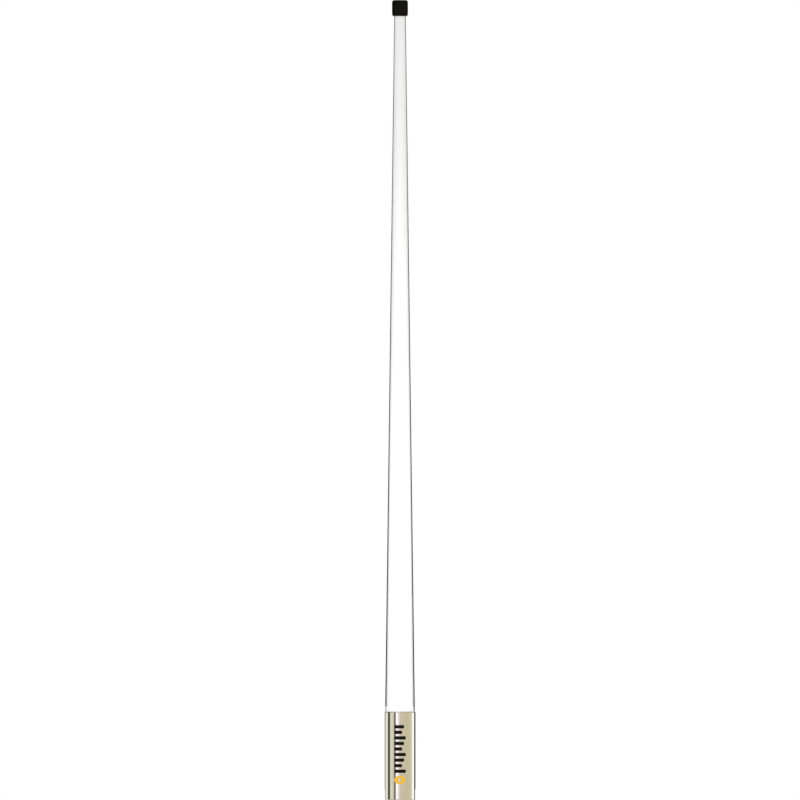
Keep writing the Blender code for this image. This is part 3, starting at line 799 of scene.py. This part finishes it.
def build_o_ring():
    bottom, top = span("jack_o_ring")
    round_radius = (outside("jack_o_ring") - JACK_HOLE) / 2
    circle = []
    for step in range(16):
        angle = TURN * step / 16
        height = (bottom + top) / 2 + round_radius * math.sin(angle)
        circle.append((JACK_HOLE + round_radius + round_radius * math.cos(angle), height))
    node_piece("jack_o_ring", circle, sides=72)


NUT_CHAMFER = 0.35
NUT_SETBACK = 0.3  # of the nut's thread from both faces
NUT_THREAD_DEPTH = 0.2


def shape_nut(x, y, z):
    """Turns a round blank into a hexagon with chamfered corners, and cuts its thread."""
    radius, angle = polar(x, y)
    bottom, top = span("jack_nut")
    if radius > NUT_FLATS - 0.5:
        chamfer = NUT_FLATS + 0.1 + 1.4 * min(z - bottom, top - z)
        return at_radius(x, y, z, min(NUT_FLATS / math.cos(to_flat(angle)), chamfer))
    if radius < JACK_HOLE + ON_WALL and bottom + NUT_SETBACK < z < top - NUT_SETBACK:
        return at_radius(x, y, z, radius - NUT_THREAD_DEPTH * thread_rise(angle, z, JACK_PITCH))
    return x, y, z


def build_nut():
    bottom, top = span("jack_nut")
    bore_top = (JACK_HOLE, top - NUT_SETBACK)
    bore_bottom = (JACK_HOLE, bottom + NUT_SETBACK)
    outline = [
        (JACK_HOLE + NUT_CHAMFER, bottom),
        *wall((NUT_FLATS, bottom), (NUT_FLATS, top), 10),
        (JACK_HOLE + NUT_CHAMFER, top),
        *wall(bore_top, bore_bottom, 24),
    ]
    node_piece("jack_nut", outline, sides=96, reshape=shape_nut, sharp=25)


# The internal feed

BRAID_STRANDS = 12
BRAID_STEPS = 8  # from one crossing over a strand to the next
BRAID_WIRE = 0.11
BRAID_RADIUS = 1.92
BRAID_WEAVE = 0.125  # how far a strand swings out and in
BRAID_FLARE = 0.8
FLARE_START = 0.85  # as a share of the braid's length


def build_braid():
    """The bare braid: two sets of fine strands wound opposite ways, each over one and under the next. Its
    top flares out to meet the choke's end disc."""
    bottom, top = span("coax_braid")
    count = BRAID_STRANDS * BRAID_STEPS
    work = bmesh.new()
    for hand in (-1, 1):
        for strand in range(BRAID_STRANDS):
            points = []
            for step in range(count + 1):
                share = step / count
                angle = TURN * (strand / BRAID_STRANDS + hand * share)
                weave = -hand * math.cos(TURN * BRAID_STRANDS * share)
                flare = max(0.0, share - FLARE_START) / (1 - FLARE_START)
                radius = BRAID_RADIUS + BRAID_WEAVE * (1 + flare) * weave + BRAID_FLARE * flare**2
                points.append(around(radius, angle, bottom + share * (top - bottom)))
            add_wire(work, points, BRAID_WIRE, sides=6)
    finish_piece(mesh_piece("coax_braid_woven", work, MATERIALS["tinned_braid"], sharp=75), "coax_braid")


CRIMP_END = 1.0  # left round at each end of the crimp sleeve
CRIMP_SLOPE = 0.6  # length over which the pressed hexagon sets in
CRIMP_PRESS = 0.93  # the hexagon's half width, as a share of the sleeve's radius
CRIMP_ROWS = 24


def shape_crimp(x, y, z):
    """Presses a hexagon into the middle of the crimp sleeve."""
    radius, angle = polar(x, y)
    bottom, top = low("crimp_sleeve") + CRIMP_END, high("crimp_sleeve") - CRIMP_END
    if not bottom < z < top:
        return x, y, z
    depth = min(1.0, (z - bottom) / CRIMP_SLOPE, (top - z) / CRIMP_SLOPE)
    pressed = radius * min(1.0, CRIMP_PRESS / math.cos(to_flat(angle)))
    return at_radius(x, y, z, radius - depth * (radius - pressed))


def build_crimp():
    bottom, top = span("crimp_sleeve")
    rows = [bottom + (top - bottom) * step / CRIMP_ROWS for step in range(1, CRIMP_ROWS)]
    ring_piece("crimp_sleeve", 0.1, rows, sides=72, reshape=shape_crimp)


def build_potting():
    """The epoxy plug, whose top creeps up the walls that it wets."""
    bottom, top = span("potting_plug")
    inner, outer = inside("potting_plug"), outside("potting_plug")
    outline = [
        (inner, bottom + 0.4),
        (inner + 1.5, bottom, 0.5),
        (outer - 1.0, bottom, 0.6),
        (outer, bottom + 1.0),
        (outer, top),
        (outer - 0.5, top - 0.7),
        (outer - 2.0, top - 1.2),
        (inner + 3.0, top - 1.3),
        (inner + 0.7, top - 0.9),
        (inner, top - 0.2),
    ]
    node_piece("potting_plug", outline, sides=72, sharp=50)


SHRINK_WALL = 0.5


def build_beads():
    """The ferrite beads, and the shrink sleeve, which sinks a little between them."""
    for number in (1, 2, 3):
        ring_piece(f"ferrite_bead_{number}", 0.7)
    bottom, top = low("ferrite_bead_1"), high("ferrite_bead_3")
    neck = inside("bead_shrink_sleeve")
    body = outside("ferrite_bead_1") + CLEARANCE
    joints = [high("ferrite_bead_1"), high("ferrite_bead_2")]
    inner = [(neck, low("bead_shrink_sleeve")), (neck, bottom - 2.0, 0.8), (body - 0.2, bottom - 0.2, 0.6)]
    for joint in joints:
        inner += [(body, joint - 2.0, 0.8), (body - 0.22, joint + 0.15, 0.8), (body, joint + 2.3, 0.8)]
    inner += [(body - 0.2, top + 0.2, 0.6), (neck, top + 2.0, 0.8), (neck, high("bead_shrink_sleeve"))]
    outer = [(point[0] + SHRINK_WALL, *point[1:]) for point in reversed(inner)]
    node_piece("bead_shrink_sleeve", inner + outer, sides=64, sharp=60)


# The radiating stack

COIL_TURNS = 5
COIL_POINTS = 28
COIL_WIRE = 0.6
COIL_RADIUS = 5.1
FORMER_RADIUS = 4.2
CHEEK = 1.2  # thickness of a bobbin's end discs
WINDING_END = CHEEK + 0.9  # from a bobbin's end to the wire's first or last turn
WINDING_GROOVE = 0.25
NOTCH_HALF_ANGLE = math.radians(13)
NOTCH_RADIUS = 4.45  # of the floor of the notch in each cheek
SPIGOT_STEP = 1.1  # from a radiator's outside in to the spigot that it holds
LEAD_LEAVE, LEAD_MEET, LEAD_END = 1.0, 2.8, 5.0  # a lead's bends and end, from the bobbin's end
LEAD_LIFT = 0.03  # between a lead and the element that it is soldered to
LEAD_BEND = 1.2


def shape_former(bottom, top):
    """Cuts a notch for the wire in both cheeks, and a shallow groove for its turns."""
    winding_low = bottom + WINDING_END
    pitch = (top - bottom - 2 * WINDING_END) / COIL_TURNS

    def reshape(x, y, z):
        radius, angle = polar(x, y)
        if radius > NOTCH_RADIUS and abs(angle) < NOTCH_HALF_ANGLE:
            return at_radius(x, y, z, NOTCH_RADIUS)
        if abs(radius - FORMER_RADIUS) < ON_WALL and bottom + CHEEK + 0.3 < z < top - CHEEK - 0.3:
            groove = math.cos((z - winding_low) / pitch * TURN - angle)
            return at_radius(x, y, z, radius - WINDING_GROOVE * max(0.0, groove) ** 3)
        return x, y, z

    return reshape


def build_former(number, bottom, top):
    """A coil's bobbin, with a spigot into the element below and a spigot or socket for the one above."""
    node = f"coil_former_{number}"
    spigot_low, spigot_high = span(node)
    lower = outside(f"radiator_{number}") - SPIGOT_STEP
    outer = outside(node)
    outline = [
        (0.0, spigot_low),
        (lower, spigot_low, 0.4),
        (lower, bottom),
        (outer, bottom, 0.2),
        (outer, bottom + CHEEK, 0.2),
        *wall((FORMER_RADIUS, bottom + CHEEK), (FORMER_RADIUS, top - CHEEK), 60),
        (outer, top - CHEEK, 0.2),
        (outer, top, 0.2),
    ]
    if spigot_high > top + 1:
        upper = outside(f"radiator_{number + 1}") - SPIGOT_STEP
        outline += [(upper, top), (upper, spigot_high, 0.4), (0.0, spigot_high)]
    else:
        socket, floor = outside("radiator_4") + CLEARANCE, low("radiator_4") - CLEARANCE
        outline += [(socket, top, 0.2), (socket, floor), (0.0, floor)]
    node_piece(node, outline, sides=72, reshape=shape_former(bottom, top))


def bent(points, size):
    """A path through those points, with each bend between its ends rounded."""
    path = [points[0]]
    for before, here, after in zip(points, points[1:], points[2:]):
        path += corner(before, here, after, size)
    return [*path, points[-1]]


def coil_path(number, bottom, top):
    """Points of a coil's wire: up from the element below, round the bobbin, on to the element above."""
    lower = outside(f"radiator_{number}") + COIL_WIRE + LEAD_LIFT
    upper = outside(f"radiator_{number + 1}") + COIL_WIRE + LEAD_LIFT
    start, end = bottom + WINDING_END, top - WINDING_END
    winding = []
    count = COIL_TURNS * COIL_POINTS
    for step in range(count + 1):
        height = start + (end - start) * step / count
        winding.append(around(COIL_RADIUS, TURN * step / COIL_POINTS, height))
    lead_in = [
        (lower, 0.0, bottom - LEAD_END),
        (lower, 0.0, bottom - LEAD_MEET),
        (COIL_RADIUS, 0.0, bottom - LEAD_LEAVE),
        winding[0],
        winding[2],
    ]
    lead_out = [
        winding[-3],
        winding[-1],
        (COIL_RADIUS, 0.0, top + LEAD_LEAVE),
        (upper, 0.0, top + LEAD_MEET),
        (upper, 0.0, top + LEAD_END),
    ]
    return [*bent(lead_in, LEAD_BEND), *winding[3:-3], *bent(lead_out, LEAD_BEND)]


SOLDER_SIZE = Vector((1.0, 1.4, 2.3))  # half widths and half height of a joint


def build_coil(number, bottom, top):
    """A phasing coil's wire, and the solder that joins its two leads to the elements."""
    name = f"phasing_coil_{number}"
    points = coil_path(number, bottom, top)
    work = bmesh.new()
    add_wire(work, points, COIL_WIRE, sides=16)
    finish_piece(mesh_piece(name + "_wound", work, MATERIALS["copper"], sharp=50), name)

    work = bmesh.new()
    for (x, y, z), side in ((points[0], 1), (points[-1], -1)):
        blob = bmesh.ops.create_icosphere(work, subdivisions=3, radius=1.0)["verts"]
        for vertex in blob:
            lump = 1 + 0.18 * noise.noise(vertex.co * 1.7 + Vector((number, side, 0)))
            vertex.co = (vertex.co * SOLDER_SIZE * lump + Vector((x - 0.25, y, z + side * 1.2))) * MM
    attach(mesh_piece(f"coil_solder_{number}", work, MATERIALS["solder"], sharp=80), "antenna")


STAKES = 3  # dimples round a radiator at each end
STAKE_DEPTH = 0.28
STAKE_WIDTH = 0.9
STAKE_ROWS, STAKE_PITCH = 7, 0.45  # rows of points on each side of a dimple, and between rows
STAKE_PLACES = (4.0, 6.0)  # of the dimples, up from a radiator's foot and down from its top


def build_radiator(node):
    """A radiator, with small dimples pressed in near each end, where it holds a spigot."""
    ends = (low(node) + STAKE_PLACES[0], high(node) - STAKE_PLACES[1])

    def reshape(x, y, z):
        radius, angle = polar(x, y)
        across = radius * math.sin(STAKES / 2 * angle) / (STAKES / 2)
        away = min(math.hypot(z - end, across) for end in ends)
        return at_radius(x, y, z, radius - STAKE_DEPTH * math.exp(-((away / STAKE_WIDTH) ** 2)))

    dimples = {end + STAKE_PITCH * step for end in ends for step in range(-STAKE_ROWS, STAKE_ROWS + 1)}
    rows = sorted({*dimples, low(node) + 0.5, high(node) - 0.5})
    ring_piece(node, 0.15, rows, sides=72, reshape=reshape)


FEED_BASE = 5.4  # thickness of the feed insulator's broad base
FEED_BORE = 0.75
FEED_SEAT, FEED_SEAT_DEPTH = 1.85, 3.0


def build_feed_insulator():
    bottom, top = span("feed_insulator")
    base, boss = outside("feed_insulator"), outside("radiator_1")
    boss_bottom, boss_top = bottom + FEED_BASE, low("radiator_1") - CLEARANCE
    outline = [
        (FEED_SEAT, bottom, 0.1),
        (base, bottom, 0.3),
        (base, boss_bottom, 0.6),
        (boss, boss_bottom, 0.5),
        (boss, boss_top, 0.1),
        (boss - SPIGOT_STEP, boss_top),
        (boss - SPIGOT_STEP, top, 0.5),
        (FEED_BORE, top, 0.1),
        (FEED_BORE, bottom + FEED_SEAT_DEPTH),
        (FEED_SEAT, bottom + FEED_SEAT_DEPTH),
    ]
    node_piece("feed_insulator", outline, sides=72)


def build_stack():
    """The lower three radiators, and the bobbin and coil on top of each."""
    for number in (1, 2, 3):
        node = f"radiator_{number}"
        build_radiator(node)
        former_low = high(node) + CLEARANCE
        former_high = low(f"radiator_{number + 1}") - CLEARANCE if number < 3 else high("coil_former_3")
        build_former(number, former_low, former_high)
        build_coil(number, former_low, former_high)


def choke_solder():
    """The fillet of solder that joins the flared braid to the choke's end disc."""
    top = low("choke_end_disc") + 0.02
    outline = [(1.9, top - 0.9, 0.2), (2.9, top - 0.7, 0.4), (4.0, top, 0.1), (1.9, top)]

    def reshape(x, y, z):
        lump = 1 + 0.06 * noise.noise(Vector((x, y, 0.0)) * 0.9)
        return x * lump, y * lump, z

    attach(turned("choke_solder_fillet", outline, MATERIALS["solder"], 48, reshape, sharp=80), "antenna")


# The foam

FOAM_EDGE = 0.8


def foam_wall(node, count):
    """The outside of a piece of foam, with soft edges."""
    outer, bottom, top = outside(node), *span(node)
    walls = stretch((outer, bottom), (outer, top), count)
    return [(outer, bottom, FOAM_EDGE), *walls, (outer, top, FOAM_EDGE)]


def ragged(x, y, z):
    """The uneven surface of cut foam."""
    rough = noise.noise(Vector((x, y, z)) * 1.3)
    scale = 1 + 0.012 * min(0.0, rough)
    return x * scale, y * scale, z


def build_foam():
    for number in range(1, 7):
        node = f"foam_spacer_{number}"
        outline = [(inside(node), low(node), 0.2), *foam_wall(node, 7), (inside(node), high(node), 0.2)]
        node_piece(node, outline, sides=72, reshape=ragged)
    inner, roof = outside("radiator_4") + CLEARANCE, high("radiator_4") + CLEARANCE
    outline = [(0.0, roof), (inner, roof), (inner, low("tip_plug"), 0.2), *foam_wall("tip_plug", 12)]
    node_piece("tip_plug", [*outline, (0.0, high("tip_plug"))], sides=72, reshape=ragged)


# The studio

VIEW_HEIGHT = 1.0  # the antenna fills the picture from edge to edge
CAMERA_DISTANCE = 3.0

# What polished metal mirrors, by azimuth in degrees from the camera, positive to the right
MIRRORED = (
    (-180, 0.62, 0.62, 0.62),
    (-127, 0.64, 0.64, 0.64),
    (-124, 1.12, 1.12, 1.06),
    (-103, 1.02, 1.0, 0.9),
    (-99, 0.045, 0.04, 0.035),
    (-82, 0.05, 0.045, 0.04),
    (-78, 0.88, 0.88, 0.74),
    (-62, 0.9, 0.9, 0.76),
    (-46, 0.74, 0.73, 0.62),
    (-44, 0.2, 0.18, 0.16),
    (-33, 0.19, 0.17, 0.15),
    (-29, 1.45, 1.42, 1.5),
    (-15, 1.4, 1.3, 1.36),
    (-12, 1.0, 0.92, 0.98),
    (-3, 0.92, 0.86, 0.84),
    (2, 0.8, 0.72, 0.6),
    (40, 0.76, 0.7, 0.52),
    (70, 0.74, 0.72, 0.5),
    (92, 0.8, 0.81, 0.66),
    (102, 0.9, 0.91, 0.8),
    (106, 1.45, 1.47, 1.45),
    (124, 1.45, 1.47, 1.45),
    (130, 0.14, 0.14, 0.15),
    (166, 0.17, 0.17, 0.18),
    (180, 0.6, 0.6, 0.6),
)

# Its strength by the height of the direction, from straight below to straight above
MIRRORED_LEVELS = ((-1, 0.45), (-0.75, 0.45), (-0.6, 1), (0.22, 1), (0.34, 0.3), (0.66, 0.35), (0.74, 1.2))

FRONT_LEVEL, BACK_LEVEL = 1.34, 0.8
WALL_TOP = 0.45  # height of direction at which the white walls start to fade


def build_world():
    """White walls light what is matt, more from the front, and polished metal mirrors a warm room with
    white and dark upright panels."""
    world = bpy.data.worlds.new("studio")
    bpy.context.scene.world = world
    world.use_nodes = True
    world.node_tree.nodes.clear()
    look = Graph(world.node_tree)
    direction = look.add("TexCoord").outputs["Generated"]
    parts = look.feed(look.add("SeparateXYZ"), Vector=direction).outputs
    forward = look.math("MULTIPLY", parts["Y"], -1.0)

    azimuth = look.math("ARCTAN2", parts["X"], forward)
    share = look.between(azimuth, -math.pi, math.pi, 0.0, 1.0)
    panels = look.ramp(share, [((angle + 180) / 360, shade) for angle, *shade in MIRRORED])
    rise = look.between(parts["Z"], -1.0, 1.0, 0.0, 1.0)
    levels = look.ramp(rise, [((height + 1) / 2, (level,) * 3) for height, level in MIRRORED_LEVELS])
    mirrored = look.feed(look.add("Background"), Color=look.blend(1.0, panels, levels, "MULTIPLY"))

    walls = look.between(forward, -0.1, 0.1, BACK_LEVEL, FRONT_LEVEL)
    fade = look.between(look.math("ABSOLUTE", parts["Z"]), WALL_TOP, WALL_TOP + 0.15, 1.0, 0.1)
    soft = look.feed(look.add("Background"), Color=(1, 1, 1, 1), Strength=look.math("MULTIPLY", walls, fade))

    backdrop = look.feed(look.add("Background"), Color=(1, 1, 1, 1))
    rays = look.add("LightPath").outputs
    room = look.mix(rays["Is Glossy Ray"], soft.outputs[0], mirrored.outputs[0])
    seen = look.mix(rays["Is Camera Ray"], room, backdrop.outputs[0])
    look.feed(look.add("OutputWorld"), Surface=seen)


def soft_box(name, place, aim, width, height, power):
    """A soft light that only diffuse surfaces see."""
    data = bpy.data.lights.new(name, "AREA")
    data.shape = "RECTANGLE"
    data.size = width
    data.size_y = height
    data.energy = power
    lamp = link(name, data)
    lamp.location = place
    lamp.rotation_euler = (Vector(aim) - Vector(place)).to_track_quat("-Z", "Y").to_euler()
    lamp.visible_camera = False
    lamp.visible_glossy = False
    return lamp


FLOOR_RADIUS = 40.0
FLOOR_DROP = 0.0003  # below the antenna's foot


def build_floor():
    """A plain pale floor, which takes no part in what the antenna mirrors or is lit by."""
    look = Surface("pale_floor", Specular_IOR_Level=0.1)
    grain = look.noise(60.0, 5.0)
    look.colour(grain, (0.894, 0.894, 0.892), (0.9, 0.9, 0.898))
    look.roughness(grain, 0.75, 0.85)
    work = bmesh.new()
    bmesh.ops.create_circle(work, cap_ends=True, segments=96, radius=FLOOR_RADIUS)
    floor = mesh_piece("floor", work, look.material)
    floor.location.z = -FLOOR_DROP
    floor.visible_diffuse = False
    floor.visible_glossy = False
    return floor


FLAG_RADIUS = 0.06
FLAG_START = 98  # degrees from the camera, on both sides
FLAG_STEPS = 40
FLAG_HEIGHTS = (RIM * MM + 0.007, 1.3)


def build_flag():
    """A black flag curved round behind the tube, which darkens what its two edges mirror. Only reflections
    show it, and it starts above the ferrule."""
    look = Surface("black_flag", Base_Color=(0, 0, 0, 1), Specular_IOR_Level=0.0)
    work = bmesh.new()
    columns = []
    for step in range(FLAG_STEPS + 1):
        angle = math.radians(FLAG_START + (360 - 2 * FLAG_START) * step / FLAG_STEPS) - TURN / 4
        columns.append([work.verts.new(around(FLAG_RADIUS, angle, height)) for height in FLAG_HEIGHTS])
    for one, other in zip(columns, columns[1:]):
        work.faces.new((one[0], other[0], other[1], one[1]))
    flag = mesh_piece("black_flag", work, look.material)
    flag.visible_camera = False
    flag.visible_diffuse = False
    flag.visible_shadow = False
    flag.visible_transmission = False


def lit_only(lamp, floor, state):
    """Light the floor alone, or everything but the floor."""
    group = bpy.data.collections.new(lamp.name + "_receivers")
    group.objects.link(floor)
    group.collection_objects[0].light_linking.link_state = state
    lamp.light_linking.receiver_collection = group


def build_lights(floor):
    """Soft boxes in front of the lower part and behind, and a broad light from above for the floor."""
    front = soft_box("front_soft_box", (0.0, -0.5, 0.33), (0.0, 0.0, 0.33), 1.3, 0.36, 3.2)
    back = soft_box("back_soft_box", (0.0, 1.4, 0.6), (0.0, 0.0, 0.5), 1.2, 1.0, 6.0)
    for lamp in (front, back):
        lit_only(lamp, floor, "EXCLUDE")
    data = bpy.data.lights.new("overhead", "SUN")
    data.energy = 2.05
    data.angle = math.radians(70)
    overhead = link("overhead", data)
    overhead.rotation_euler = (math.radians(14), math.radians(-10), 0)
    overhead.visible_glossy = False
    lit_only(overhead, floor, "INCLUDE")


def build_camera():
    """A level, square-on view along +Y without perspective."""
    data = bpy.data.cameras.new("camera")
    data.type = "ORTHO"
    data.ortho_scale = VIEW_HEIGHT
    camera = link("camera", data)
    camera.location = (0.0, -CAMERA_DISTANCE, VIEW_HEIGHT / 2)
    camera.rotation_euler = (math.pi / 2, 0.0, 0.0)
    bpy.context.scene.camera = camera
    bpy.context.scene.view_settings.view_transform = "Standard"


build_camera()
build_ferrule()
build_radome()
build_sealant()
build_cap()
build_marks()
build_jack_body()
ring_piece("jack_insulator", 0.25)
build_contact()
build_o_ring()
ring_piece("jack_washer", 0.15, sides=72)
build_nut()
ring_piece("coax_jacket", 0.15)
ring_piece("coax_dielectric", 0.1)
rod_piece("coax_conductor", 0.1, 0.3, sides=24)
build_braid()
build_crimp()
build_potting()
build_beads()
ring_piece("choke_sleeve", 0.2, sides=72)
ring_piece("choke_end_disc", 0.3, sides=72)
build_feed_insulator()
build_stack()
rod_piece("radiator_4", 0.3, 0.8)
choke_solder()
build_foam()
build_world()
build_flag()
build_lights(build_floor())
